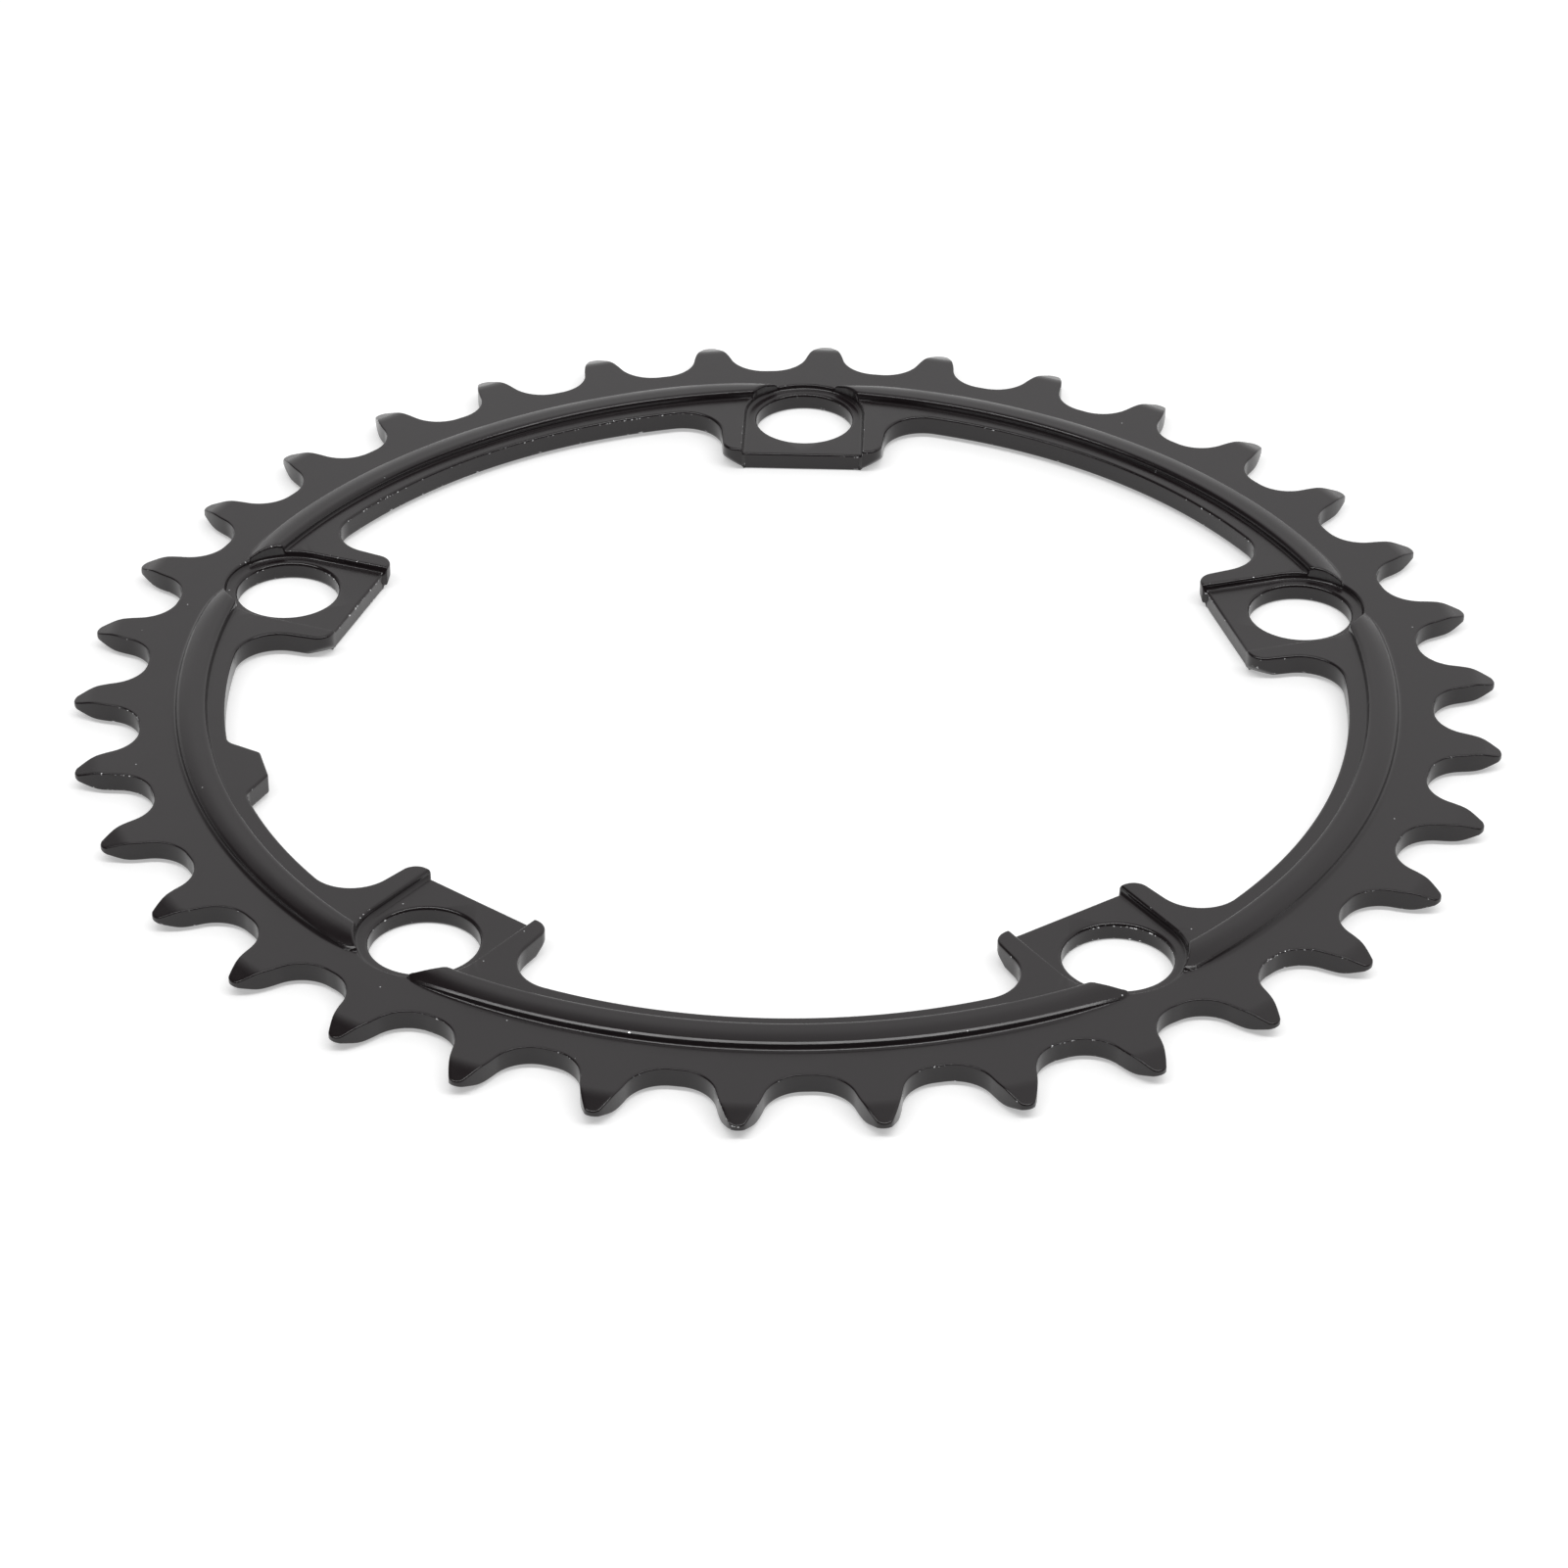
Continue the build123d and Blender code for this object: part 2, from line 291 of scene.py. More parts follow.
def tooth_loop(s):
    """The toothed edge, counter-clockwise: roller seats joined by flank arcs and rounded tips."""
    turn = cmath.exp(1j * s.half_pitch)
    flat_end = (s.root_radius - 0.5j * s.gap_flat) * turn
    seat_center = flat_end + s.roller_seat_radius * turn
    seat = s.arc(seat_center, flat_end, math.pi / 2 - s.flank_lean - s.half_pitch)
    flank_start = seat[-1]
    tip_corner = complex(s.tip_radius - s.tip_crown, s.tip_width / 2)
    tip_curve = (s.tip_crown**2 + s.tip_width**2 / 4) / (2 * s.tip_crown)
    normal = (flank_start - seat_center) / s.roller_seat_radius
    chord = flank_start - tip_corner
    flank_center = flank_start - normal * abs(chord) ** 2 / (2 * (normal.conjugate() * chord).real)
    half = [flat_end] + seat + s.arc_to(flank_center, flank_start, tip_corner)
    half += s.arc_to(s.tip_radius - tip_curve, tip_corner, complex(s.tip_radius, 0))
    tooth = [p.conjugate() for p in half] + half[-2::-1]
    turns = [s.tooth_phase + i * 2 * s.half_pitch for i in range(s.tooth_count)]
    return [p * cmath.exp(1j * t) for t in turns for p in tooth]


def tab_side(s, end, width, flare, nose, root):
    """The upper side of a tab on +X, from the rim to where its rounded nose meets its end."""
    along = cmath.exp(1j * flare)
    across = 1j * along
    line = complex(end, width / 2) + root * across
    inward = (line * along.conjugate()).real
    reach = math.sqrt(inward**2 - abs(line) ** 2 + (s.inner_radius - root) ** 2) - inward
    root_center = line + reach * along
    rim = root_center * s.inner_radius / abs(root_center)
    nose_center = complex(end + nose, width / 2 - nose * (1 - math.sin(flare)) / math.cos(flare))
    side = [rim] + s.arc_to(root_center, rim, root_center - root * across)
    side.append(nose_center + nose * across)
    return side + s.arc_to(nose_center, side[-1], nose_center - nose)


def bolt_tab_side(s):
    """The upper side of a bolt tab on +X, in to the middle of the tab's end."""
    side = tab_side(s, s.ear_end, s.tab_width, s.tab_flare, s.ear_nose_radius, s.tab_root_radius)
    corners = [complex(s.ear_end, s.seat_half), complex(s.tab_end, s.seat_half - s.ear_overhang)]
    return side + corners + [complex(s.tab_end, 0)]


def key_side(s):
    """The upper side of the key tab, set on +X."""
    side = tab_side(s, s.key_end, s.key_width, s.key_flank_angle, s.key_corner_radius, s.key_root_radius)
    return side + [complex(s.key_end, 0)]


def inner_loop(s):
    """The edge of the opening, counter-clockwise, with its tabs."""
    tabs = [(i * s.bolt_step, bolt_tab_side(s)) for i in range(s.bolt_count)]
    tabs.append((math.pi, key_side(s)))
    loop = []
    for turn, side in sorted(tabs, key=lambda tab: tab[0]):
        tab = [p.conjugate() for p in side] + side[-2::-1]
        tab = [p * cmath.exp(1j * turn) for p in tab]
        if loop:
            loop += s.arc_to(0, loop[-1], tab[0])[:-1]
        loop += tab
    return loop + s.arc_to(0, loop[-1], loop[0])[:-1]


def hole_loop(s, turn):
    """The edge of one bolt hole."""
    center = s.bolt_radius * cmath.exp(1j * turn)
    return s.arc(center, center + s.bolt_hole_radius, 2 * math.pi)


def grown(loop, distance):
    """A loop moved sideways, to the left of its direction."""
    p = np.array(loop)
    ahead = np.roll(p, -1) - p
    left = 1j * ahead / abs(ahead)
    before = np.roll(left, 1)
    miter = (left + before) / (1 + (left * before.conjugate()).real)
    return list(p + distance * miter)


def rib_loop(s, growth):
    """The rib's outline on plan, grown by a distance, for the arc whose middle is on +X."""
    outer = s.rib_arc_radius + s.rib_width / 2 + growth
    inner = s.rib_arc_radius - s.rib_width / 2 - growth
    corner = max(s.rib_corner_radius + growth, s.wall_lean)
    end = growth - s.rib_gap / 2
    turn = cmath.exp(1j * s.bolt_step / 2)
    hub = -s.rib_center_offset / turn
    center_y = end - corner - hub.imag
    center = hub + complex(math.sqrt((outer - corner) ** 2 - center_y**2), center_y)
    inner_y = end - hub.imag
    inner_end = hub + complex(math.sqrt(inner**2 - inner_y**2), inner_y)
    arc_end = hub + (center - hub) * outer / (outer - corner)
    middle = complex(outer - s.rib_center_offset, 0)
    half = [middle] + s.arc_to(-s.rib_center_offset, middle, arc_end * turn)
    half += s.arc_to(center * turn, half[-1], (center + 1j * corner) * turn)
    half.append(inner_end * turn)
    half += s.arc_to(-s.rib_center_offset, half[-1], complex(inner - s.rib_center_offset, 0))
    return half + [p.conjugate() for p in half[-2:0:-1]]


def u_line(s, half_width):
    """A line round a bolt hole on +X, open toward the middle of the ring and run past the tab's end."""
    start = complex(s.ear_end - s.ear_overhang, -half_width)
    turn_in = complex(s.bolt_radius, -half_width)
    return [start, turn_in] + s.arc(s.bolt_radius, turn_in, math.pi) + [start.conjugate()]


def corner_line(s):
    """The line where the bevel on the backs of a tab's ears starts, for the tab on +X."""
    start = complex(s.bolt_radius - s.corner_bevel_start, 0)
    half = s.arc(s.bolt_radius, start, -CORNER_SWEEP)
    return [p.conjugate() for p in half[::-1]] + [start] + half


def edge_offsets(s, radius):
    """Distances from an edge, across its rounding."""
    return [radius * (1 - math.cos(math.pi / 2 * i / s.edge_steps)) for i in range(s.edge_steps + 1)]


def edge_drop(distance, radius):
    """How far a rounded edge falls below the face that it belongs to."""
    near = np.clip(radius - distance, 0, radius)
    return radius - np.sqrt(radius**2 - near**2)


def tab_frame(s, p):
    """Points turned so that the nearest bolt tab is on +X."""
    return p * np.exp(-1j * s.bolt_step * np.round(np.angle(p) / s.bolt_step))


def rib_place(s, p):
    """Distance outside the rib's outline on plan, place across the rib and distance past its end."""
    q = p * np.exp(-1j * s.bolt_step * (np.floor(np.angle(p) / s.bolt_step) + 0.5))
    across = abs(q + s.rib_center_offset) - s.rib_arc_radius
    half = s.rib_width / 2
    upper = q.real + 1j * abs(q.imag)
    past_end = (upper * cmath.exp(-0.5j * s.bolt_step)).imag + s.rib_gap / 2
    corner = s.rib_corner_radius
    over_side = across - half + corner
    over_end = past_end + corner
    at_corner = np.hypot(np.maximum(over_side, 0), np.maximum(over_end, 0))
    rounded = np.minimum(np.maximum(over_side, over_end), 0) + at_corner - corner
    return np.maximum(rounded, -across - half), across, past_end


def from_bolt_line(s, p):
    """Distance from the nearest tab's middle line, and round its bolt hole beyond the hole's middle."""
    q = tab_frame(s, p)
    return np.where(q.real > s.bolt_radius, abs(q - s.bolt_radius), abs(q.imag))


def step_up(distance, low, high, foot, edge, lean):
    """Height across a wall, whose top is at negative distances: hollow foot, wall and rounded edge."""
    room = np.clip((high - low) / (edge + foot), 0, 1)
    on_top = high - room * edge_drop(-distance, edge)
    at_foot = low + room * edge_drop(distance - lean, foot)
    up = np.clip(distance / lean, 0, 1)
    on_wall = (1 - up) * (high - room * edge) + up * (low + room * foot)
    return np.where(distance <= 0, on_top, np.where(distance < lean, on_wall, at_foot))


def soft_ramp(x, blend):
    """Zero before zero, then a slope of one, with a soft bend between."""
    return np.where(x > blend, x, np.where(x < -blend, 0, (x + blend) ** 2 / (4 * blend)))


def tip_bevel(s, p):
    """How much each bevel takes off the faces at the tips."""
    return soft_ramp(abs(p) - s.bevel_start, s.bevel_blend) * s.bevel_slope


def shoulder_height(s, outside, across, past_end):
    """Height of the rib's top, which rolls down to a chamfer on its outer side, and further at its ends."""
    at_end = np.exp(np.minimum(past_end + s.rib_corner_radius / 2, 0) / s.shoulder_run)
    drop = s.shoulder_drop + (s.rib_height - s.shoulder_drop) * at_end
    width = s.shoulder_width + s.shoulder_end_width * at_end
    roll = drop * np.clip(1 - (s.rib_width / 2 - across) / width, 0, 1) ** 2
    inward = np.maximum(-outside, 0)
    chamfer = soft_ramp(s.rib_chamfer - inward, s.rib_chamfer_blend) * math.tan(s.rib_chamfer_angle)
    return s.rib_top - roll - np.where(across > 0, chamfer, 0)


def rib_wall(s, outside, ground, top):
    """Height across the rib's outer wall, which leans and ends in a hollow fillet."""
    slope = math.tan(s.rib_wall_angle)
    bend = 1 - math.cos(s.rib_wall_angle)
    foot = np.minimum(s.rib_foot_radius, (top - ground) / bend)
    wall_end = (top - ground - foot * bend) / slope
    past = np.clip(wall_end + foot * math.sin(s.rib_wall_angle) - outside, 0, foot)
    hollow = ground + foot - np.sqrt(foot**2 - past**2)
    return np.where(outside < wall_end, top - slope * np.maximum(outside, 0), hollow)


def front_height(s, p):
    """Height of the front face, before its outer edges are rounded."""
    outside, across, past_end = rib_place(s, p)
    ground = np.where(across > 0, s.plate_front - tip_bevel(s, p), s.band_front)
    top = np.maximum(shoulder_height(s, outside, across, past_end), ground)
    inner = step_up(outside, ground, top, s.rib_inner_foot_radius, s.rib_edge_radius, s.wall_lean)
    face = np.where(across > 0, rib_wall(s, outside, ground, top), np.minimum(inner, top))
    into_seat = s.seat_half - from_bolt_line(s, p)
    return step_up(into_seat, s.seat_thickness, face, s.seat_foot_radius, s.inner_edge, s.wall_lean)


def back_height(s, p):
    """Height of the back face, before its outer edges are rounded."""
    q = tab_frame(s, p)
    on_tab = q.real > s.tab_end - PLAN_MERGE
    pad = np.clip(s.pad_foot - from_bolt_line(s, p), 0, s.pad_height) * on_tab
    by_ears = (q.real < s.bolt_radius) & (abs(q.imag) < (s.tab_width + s.ear_nose_radius) / 2)
    bevel = np.maximum(abs(q - s.bolt_radius) - s.corner_bevel_start, 0) * by_ears
    return s.plate_back - pad + tip_bevel(s, p) + bevel


def boundaries(s):
    """The loops that bound the plan, each with the rounding of its edges, metal on the left."""
    loops = [(tooth_loop(s), s.tooth_edge), (inner_loop(s)[::-1], s.inner_edge)]
    loops += [(hole_loop(s, i * s.bolt_step)[::-1], s.hole_edge) for i in range(s.bolt_count)]
    return loops


def tab_lines(s):
    """Lines along the seats' walls, the pads' sides and the bevels of the ears' backs."""
    widths = [s.seat_half + d for d in edge_offsets(s, s.inner_edge)]
    widths += [s.seat_half - s.wall_lean - d for d in edge_offsets(s, s.seat_foot_radius)]
    widths += [s.pad_width / 2, s.pad_foot]
    lines = [u_line(s, width) for width in widths] + [corner_line(s)]
    return [turned for line in lines for turned in s.around(line)]


def bevel_lines(s):
    """Circles along the soft line where the teeth's bevels start."""
    starts = [complex(s.bevel_start + shift * s.bevel_blend, 0) for shift in (-1, -0.5, 0, 0.5, 1)]
    return [[start] + s.arc(0, start, 2 * math.pi) for start in starts]


def rib_lines(s):
    """Lines along the rib's edges, feet and top, kept clear of the seats' floors."""
    growths = [s.wall_lean, s.wall_lean + s.rib_inner_foot_radius]
    growths += list(np.linspace(0, s.rib_foot_reach, s.foot_steps + 1)[1:])
    growths += [-d for d in edge_offsets(s, s.rib_edge_radius)]
    growths += [d * s.rib_chamfer_blend - s.rib_chamfer for d in (-1, 0, 1)]
    growths += list(np.linspace(-s.rib_edge_radius, -s.rib_middle_inset, s.top_steps + 1)[1:])
    lines = []
    for growth in growths:
        loop = rib_loop(s, growth)
        for turned in s.around(loop + loop[:1], s.bolt_step / 2):
            clear = from_bolt_line(s, np.array(turned)) > s.seat_half - s.seat_foot_radius
            lines += kept_runs(turned, clear)
    return lines


def kept_runs(line, keep):
    """The stretches of a line whose points are kept."""
    runs, run = [], []
    for point, wanted in zip(line, keep):
        if wanted:
            run.append(point)
        elif run:
            runs.append(run)
            run = []
    return runs + [run] if run else runs


def inside(points, loops):
    """Which points lie in the area that the loops bound, by counting crossings."""
    odd = np.zeros(len(points), bool)
    for loop in loops:
        a = np.array(loop)
        b = np.roll(a, -1)
        lean = (b.real - a.real) / np.where(b.imag == a.imag, 1, b.imag - a.imag)
        for i in range(0, len(points), POINT_BATCH):
            part = points[i:i + POINT_BATCH, None]
            spans = (a.imag > part.imag) != (b.imag > part.imag)
            crossed = spans & (part.real < a.real + (part.imag - a.imag) * lean)
            odd[i:i + POINT_BATCH] ^= np.count_nonzero(crossed, axis=1) % 2 == 1
    return odd


def plan_mesh(loops, lines):
    """Points and triangles over the area that the loops bound, with an edge along every loop and line."""
    points, edges = [], []
    for line in [loop + loop[:1] for loop in loops] + lines:
        start = len(points)
        points += [Vector((p.real, p.imag)) for p in line]
        edges += [(start + i, start + i + 1) for i in range(len(line) - 1)]
    verts, _, faces, _, _, _ = delaunay_2d_cdt(points, edges, [], 0, PLAN_MERGE)
    verts = np.array([complex(*v) for v in verts])
    faces = np.array([f for f in faces if len(f) == 3])
    faces = faces[inside(verts[faces].mean(axis=1), loops)]
    used, faces = np.unique(faces, return_inverse=True)
    return verts[used], faces.reshape(-1, 3)


def loop_distance(points, loop, reach):
    """Distance from each point to a loop, or the reach where it is further."""
    best = np.full(len(points), reach)
    order = np.argsort(points.real)
    xs = points.real[order]
    ends = loop[1:] + loop[:1]
    for start, end in zip(loop, ends):
        along = end - start
        low = np.searchsorted(xs, min(start.real, end.real) - reach)
        high = np.searchsorted(xs, max(start.real, end.real) + reach)
        near = order[low:high]
        near = near[abs(points[near].imag - start.imag) < reach + abs(along)]
        off = points[near] - start
        t = np.clip((off * along.conjugate()).real / abs(along) ** 2, 0, 1)
        best[near] = np.minimum(best[near], abs(off - t * along))
    return best


def rim_edges(triangles):
    """The edges that only one triangle uses, in that triangle's direction."""
    ends = np.concatenate([triangles[:, [0, 1]], triangles[:, [1, 2]], triangles[:, [2, 0]]])
    _, first, count = np.unique(np.sort(ends, axis=1), axis=0, return_index=True, return_counts=True)
    return ends[first[count == 1]]


def ring_surface(s):
    """Plan points with their front and back heights and nearness to an edge, and the triangles on them."""
    bounds = boundaries(s)
    lines = tab_lines(s) + bevel_lines(s) + rib_lines(s)
    for loop, edge in bounds:
        for offset in edge_offsets(s, edge)[1:] + [s.wear_reach]:
            ring = grown(loop, offset)
            lines.append(ring + ring[:1])
    plan, triangles = plan_mesh([loop for loop, _ in bounds], lines)
    front, back = front_height(s, plan), back_height(s, plan)
    sharp = np.zeros(len(plan))
    for loop, edge in bounds:
        distance = loop_distance(plan, loop, s.wear_reach)
        front = front - edge_drop(distance, edge)
        back = back + edge_drop(distance, edge)
        sharp = np.maximum(sharp, 1 - distance / s.wear_reach)
    off_seat = abs(from_bolt_line(s, plan) - s.seat_half - s.inner_edge / 2)
    sharp = np.maximum(sharp, 1 - np.clip(off_seat / s.wear_reach, 0, 1))
    return plan, front, back, sharp, triangles


def with_walls(s, plan, front, back, sharp, triangles):
    """Corners, faces and edge nearness of the closed ring: both faces and the walls between them."""
    count = len(plan)
    rims = rim_edges(triangles)
    rim = np.unique(rims)
    place = np.zeros(count, int)
    place[rim] = np.arange(len(rim))
    margin = np.minimum(s.tooth_edge, (front - back)[rim] / 3)
    heights = [front, back, front[rim] - margin, back[rim] + margin]
    plans = [plan, plan, plan[rim], plan[rim]]
    corners = [np.stack([p.real, p.imag, z], axis=1) for p, z in zip(plans, heights)]
    rows = [rims, 2 * count + place[rims], 2 * count + len(rim) + place[rims], count + rims]
    quads = [np.stack([a[:, 1], a[:, 0], b[:, 0], b[:, 1]], axis=1) for a, b in zip(rows, rows[1:])]
    faces = triangles.tolist() + (triangles[:, ::-1] + count).tolist() + np.concatenate(quads).tolist()
    nearness = np.concatenate([sharp, sharp, np.zeros(2 * len(rim))])
    return np.concatenate(corners) * MM, faces, nearness


class NodeTree:
    """A short way to add shader nodes and join them."""

    def __init__(self, tree):
        self.tree = tree
        tree.nodes.clear()

    def add(self, kind, settings=None, **inputs):
        """A node with its settings, and its inputs given as values or as other nodes' outputs.

        An input goes by its own name, or by the letter i and its number.
        """
        node = self.tree.nodes.new(kind)
        for name, value in (settings or {}).items():
            setattr(node, name, value)
        for name, value in inputs.items():
            socket = node.inputs[int(name[1:]) if name[1:].isdigit() else name.replace("_", " ")]
            if isinstance(value, bpy.types.NodeSocket):
                self.tree.links.new(value, socket)
            else:
                socket.default_value = value
        return node

    def math(self, operation, *values):
        """The output of a sum, product or other operation."""
        inputs = {f"i{i}": value for i, value in enumerate(values)}
        return self.add("ShaderNodeMath", {"operation": operation}, **inputs).outputs[0]

    def ramp(self, value, low, high, start=0.0, end=1.0):
        """A smooth rise of one value from start to end while another goes from low to high."""
        settings = {"interpolation_type": "SMOOTHSTEP"}
        inputs = {"i0": value, "i1": low, "i2": high, "i3": start, "i4": end}
        return self.add("ShaderNodeMapRange", settings, **inputs).outputs[0]

    def along(self, value, way):
        """How far a vector goes along a direction."""
        settings = {"operation": "DOT_PRODUCT"}
        return self.add("ShaderNodeVectorMath", settings, i0=value, i1=way).outputs["Value"]

    def noise(self, place, size, detail=2.0):
        """Noise whose patches are about as wide as the size."""
        inputs = {"Vector": place, "Scale": 1 / size, "Detail": detail}
        return self.add("ShaderNodeTexNoise", None, **inputs).outputs[0]


def black_alloy(look):
    """Satin black dyed alloy, worn to bare metal in small chips along the edges and in rare specks."""
    material = bpy.data.materials.new("black_alloy")
    material.use_nodes = True
    tree = NodeTree(material.node_tree)
    place = tree.add("ShaderNodeTexCoord").outputs["Object"]
    edge = tree.add("ShaderNodeAttribute", {"attribute_name": "edge"}).outputs["Fac"]
    patches = tree.noise(place, look.patch_size)
    chips = tree.noise(place, look.chip_size, detail=3.0)
    weak = tree.math("MULTIPLY_ADD", patches, look.patch_pull, chips)
    worn_edge = tree.math("MULTIPLY_ADD", edge, look.edge_pull, weak)
    level = look.chip_level - look.edge_wear
    chipped = tree.ramp(worn_edge, level, level + look.chip_blend)
    cells = {"Vector": place, "Scale": 1 / look.speck_spacing}
    speck = tree.add("ShaderNodeTexVoronoi", {"voronoi_dimensions": "2D"}, **cells)
    reach = tree.math("MULTIPLY", speck.outputs["Distance"], look.speck_spacing / look.speck_size)
    chance = tree.add("ShaderNodeSeparateColor", None, Color=speck.outputs["Color"]).outputs[0]
    disc = tree.ramp(reach, 0.5 - look.speck_rim, 0.5, 1, 0)
    present = tree.ramp(chance, look.speck_rarity, look.speck_rarity + look.speck_blend)
    dot = tree.math("MULTIPLY", disc, present)
    worn = tree.math("MAXIMUM", chipped, dot)
    colour_mix = {"Factor": worn, "i6": (*look.anodised, 1), "i7": (*look.worn, 1)}
    tint = tree.add("ShaderNodeMix", {"data_type": "RGBA"}, **colour_mix).outputs[2]
    cloud = tree.noise(place, look.cloud_size, detail=4.0)
    smoothest = look.roughness - look.unevenness
    roughest = look.roughness + look.unevenness
    rough = tree.ramp(cloud, NOISE_LOW, NOISE_HIGH, smoothest, roughest)
    grain = tree.noise(place, look.grain_size)
    relief = tree.math("SUBTRACT", grain, tree.math("MULTIPLY", worn, look.chip_depth))
    bump = tree.add("ShaderNodeBump", None, Strength=look.grain, Distance=look.grain_size, Height=relief)
    shade = {"Base_Color": tint, "Metallic": worn, "Roughness": rough, "IOR": look.gloss}
    surface = tree.add("ShaderNodeBsdfPrincipled", None, Normal=bump.outputs[0], **shade)
    tree.add("ShaderNodeOutputMaterial", None, Surface=surface.outputs[0])
    return material


def pale_floor(stage):
    """A matt pale floor that is white to the eye and in reflections, and keeps shadows."""
    material = bpy.data.materials.new("pale_floor")
    material.use_nodes = True
    tree = NodeTree(material.node_tree)
    matt = tree.add("ShaderNodeBsdfDiffuse", None, Color=(*stage.floor, 1)).outputs[0]
    path = tree.add("ShaderNodeLightPath").outputs
    seen = tree.math("ADD", path["Is Camera Ray"], path["Is Glossy Ray"])
    seen = tree.math("ADD", seen, path["Is Transmission Ray"])
    strength = tree.math("MULTIPLY", seen, stage.floor_glow)
    glow = tree.add("ShaderNodeEmission", None, Strength=strength).outputs[0]
    both = tree.add("ShaderNodeAddShader", None, i0=matt, i1=glow).outputs[0]
    tree.add("ShaderNodeOutputMaterial", None, Surface=both)
    return material


def direction(turn, height):
    """A unit vector at a turn from +X and a height over the floor."""
    flat = Vector((math.cos(turn), math.sin(turn), 0)) * math.cos(height)
    return flat + Vector((0, 0, math.sin(height)))


def studio_room(stage):
    """A dim room with a wide white card behind the ring, which leans over it to the right."""
    world = bpy.data.worlds.new("studio_room")
    world.use_nodes = True
    tree = NodeTree(world.node_tree)
    look = tree.add("ShaderNodeTexCoord").outputs["Generated"]
    away = -direction(stage.camera_turn, 0)
    left = Vector((0, 0, 1)).cross(away)
    up = Vector((0, 0, math.cos(stage.card_lean))) + left * math.sin(stage.card_lean)
    sides = tree.ramp(tree.along(look, away), stage.card_side_end, stage.card_side)
    top = tree.ramp(tree.along(look, up), stage.card_full, stage.card_end, 1, 0)
    card = tree.math("MULTIPLY", tree.math("MULTIPLY", sides, top), stage.card)
    light = tree.math("ADD", card, stage.room)
    surface = tree.add("ShaderNodeBackground", None, Strength=light).outputs[0]
    tree.add("ShaderNodeOutputWorld", None, Surface=surface)
    return world


def overhead_softbox(stage):
    """A long soft lamp overhead that faces the ring and is seen only in its light."""
    lamp = bpy.data.lights.new("softbox", "AREA")
    lamp.shape = "RECTANGLE"
    lamp.size = stage.softbox_width
    lamp.size_y = stage.softbox_depth
    lamp.energy = math.pi * stage.softbox_width * stage.softbox_depth * stage.softbox
    holder = bpy.data.objects.new("softbox", lamp)
    back = direction(stage.softbox_turn, stage.softbox_height)
    holder.rotation_euler = back.to_track_quat("Z", "Y").to_euler()
    holder.location = Vector(stage.camera_target) + back * stage.softbox_distance
    holder.visible_camera = False
    bpy.context.scene.collection.objects.link(holder)


def photo_camera(stage):
    """The camera at the photograph's place."""
    data = bpy.data.cameras.new("camera")
    data.sensor_width = FILM_WIDTH
    data.lens = stage.lens
    data.clip_start = stage.camera_near
    data.clip_end = stage.camera_far
    camera = bpy.data.objects.new("camera", data)
    back = direction(stage.camera_turn, stage.camera_height)
    right = Vector((0, 0, 1)).cross(back).normalized()
    up = back.cross(right)
    roll = cmath.rect(1, stage.camera_roll)
    level = right * roll.real + up * roll.imag
    turn = Matrix((level, back.cross(level), back)).transposed().to_4x4()
    place = Vector(stage.camera_target) + back * stage.camera_distance
    camera.matrix_world = Matrix.Translation(place) @ turn
    bpy.context.scene.collection.objects.link(camera)
    bpy.context.scene.camera = camera


class CHAINRING_OT_ring(bpy.types.Operator):
    """Build the ring with its rounded edges, to stand for the solid ring"""

    bl_idname = "chainring.ring"
    bl_label = "Ring"

    def execute(self, context):
        shape = RingShape(context.scene.chainring_sizes)
        corners, faces, nearness = with_walls(shape, *ring_surface(shape))
        mesh = bpy.data.meshes.new("ring")
        mesh.from_pydata(corners.tolist(), [], faces)
        mesh.attributes.new("edge", "FLOAT", "POINT").data.foreach_set("value", nearness)
        mesh.shade_smooth()
        mesh.set_sharp_from_angle(angle=context.scene.chainring_sizes.crease)
        if mesh.validate():
            raise RuntimeError("the ring's mesh has faces that don't close")
        ring = bpy.data.objects.new("ring", mesh)
        context.scene.collection.objects.link(ring)
        ring.data.materials.append(black_alloy(context.scene.chainring_look))
        even = ring.modifiers.new("even_shading", "WEIGHTED_NORMAL")
        even.keep_sharp = True
        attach(ring, "root")
        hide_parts(NODE)
        return {"FINISHED"}


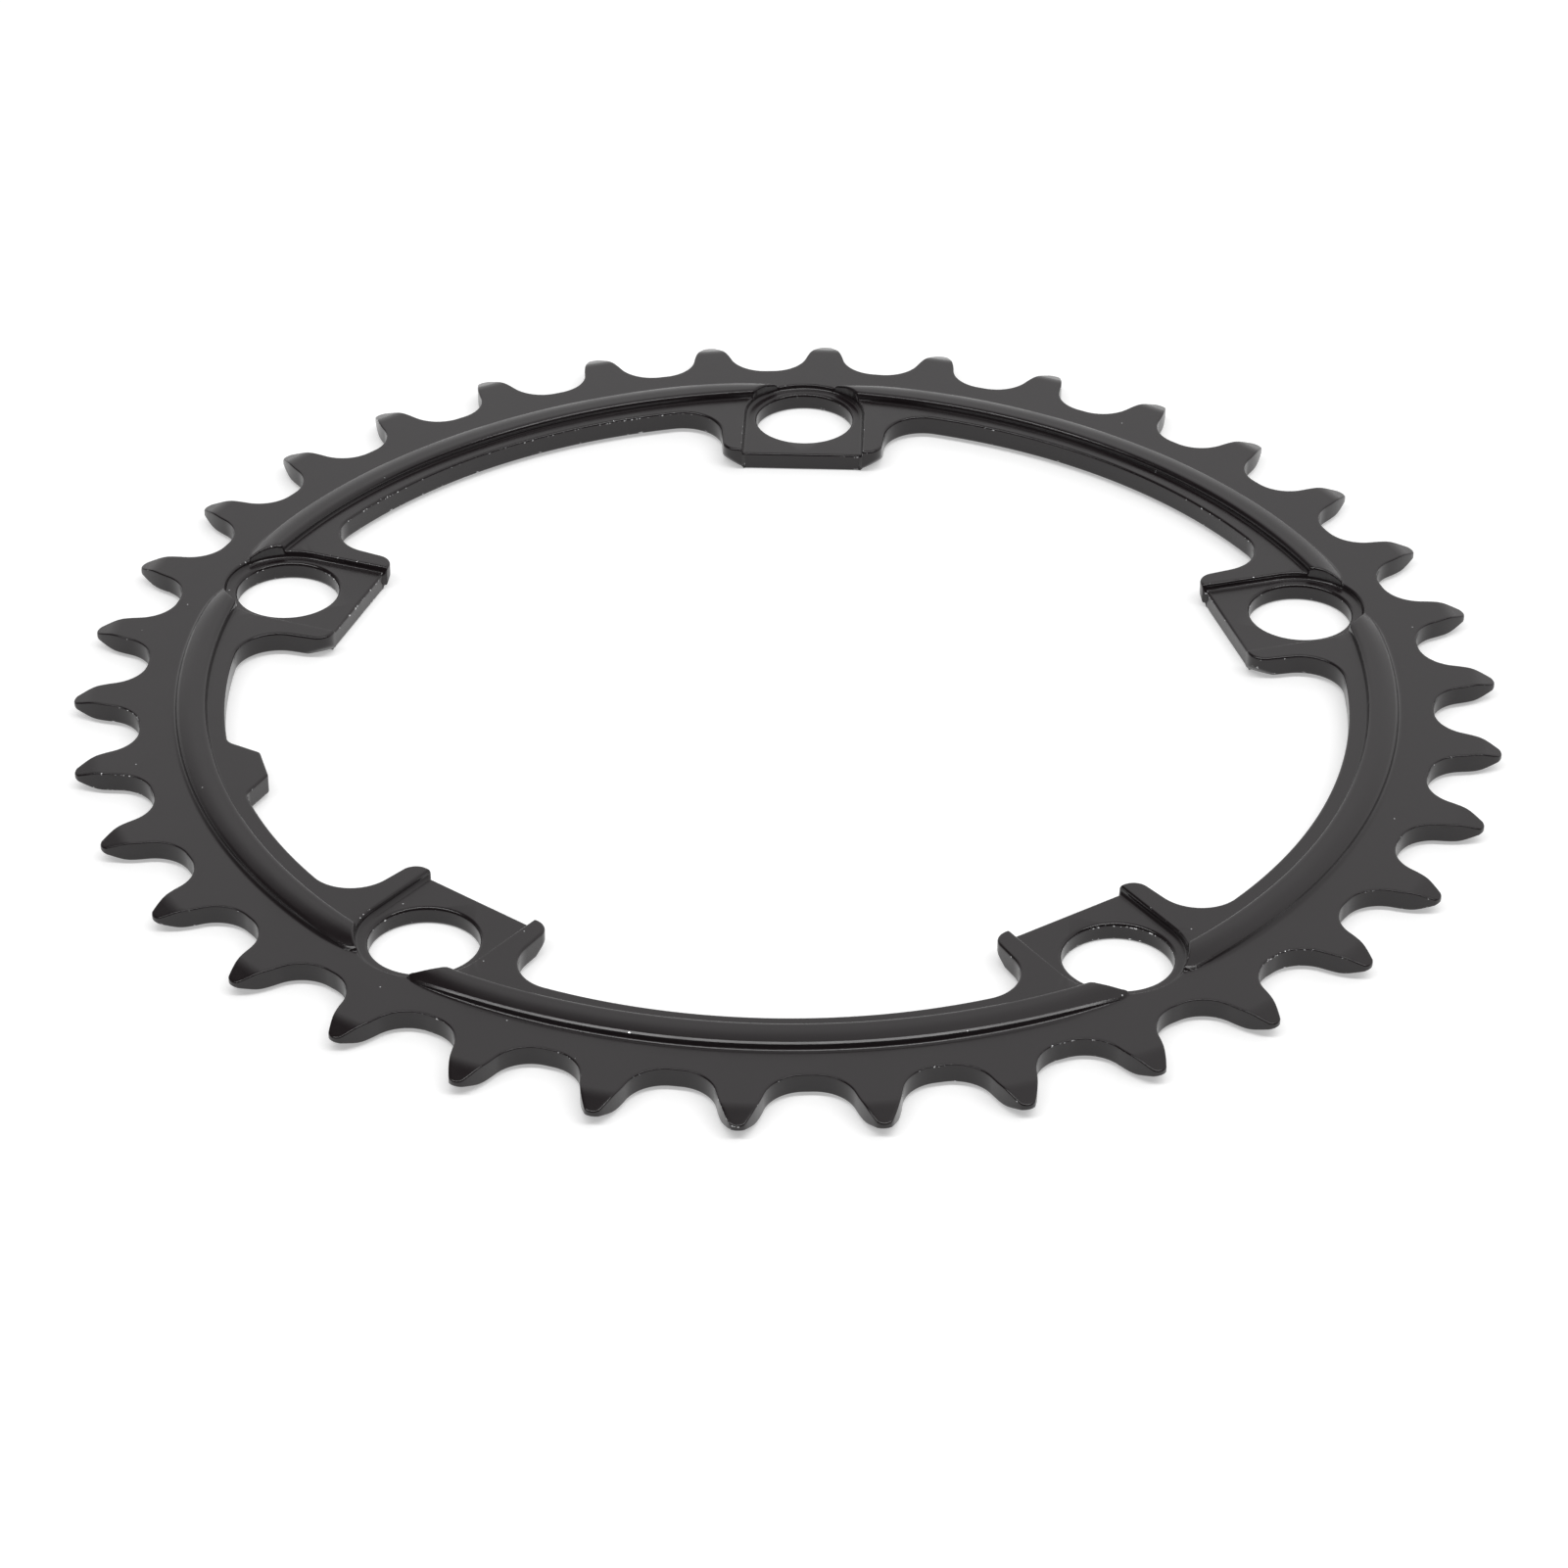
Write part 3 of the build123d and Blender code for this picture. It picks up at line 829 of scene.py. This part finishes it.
class CHAINRING_OT_stage(bpy.types.Operator):
    """Lay the floor, set the lights and place the camera"""

    bl_idname = "chainring.stage"
    bl_label = "Stage"

    def execute(self, context):
        stage = context.scene.chainring_stage
        half = stage.floor_size / 2
        corners = [(-half, -half, 0), (half, -half, 0), (half, half, 0), (-half, half, 0)]
        mesh = bpy.data.meshes.new("floor")
        mesh.from_pydata(corners, [], [(0, 1, 2, 3)])
        mesh.materials.append(pale_floor(stage))
        floor = bpy.data.objects.new("floor", mesh)
        context.scene.collection.objects.link(floor)
        overhead_softbox(stage)
        context.scene.world = studio_room(stage)
        context.scene.view_settings.view_transform = "Standard"
        photo_camera(stage)
        return {"FINISHED"}


class CHAINRING_PT_panel(bpy.types.Panel):
    """Sizes, finish and studio of the chainring"""

    bl_idname = "CHAINRING_PT_panel"
    bl_label = "Chainring"
    bl_space_type = "VIEW_3D"
    bl_region_type = "UI"
    bl_category = "Chainring"

    def draw(self, context):
        scene = context.scene
        for group in (scene.chainring_sizes, scene.chainring_look, scene.chainring_stage):
            column = self.layout.column(align=True)
            for name in group.__annotations__:
                column.prop(group, name)
        self.layout.operator("chainring.ring")
        self.layout.operator("chainring.stage")


CLASSES = (
    ChainringSizes,
    ChainringLook,
    ChainringStage,
    CHAINRING_OT_ring,
    CHAINRING_OT_stage,
    CHAINRING_PT_panel,
)


def register():
    """Make the panel, the operators and their settings known."""
    for each in CLASSES:
        bpy.utils.register_class(each)
    bpy.types.Scene.chainring_sizes = PointerProperty(type=ChainringSizes)
    bpy.types.Scene.chainring_look = PointerProperty(type=ChainringLook)
    bpy.types.Scene.chainring_stage = PointerProperty(type=ChainringStage)


def unregister():
    """Take them away again."""
    del bpy.types.Scene.chainring_sizes
    del bpy.types.Scene.chainring_look
    del bpy.types.Scene.chainring_stage
    for each in reversed(CLASSES):
        bpy.utils.unregister_class(each)


def main():
    """Build the ring and the stage."""
    register()
    bpy.ops.chainring.ring()
    bpy.ops.chainring.stage()


if __name__ == "__main__":
    main()
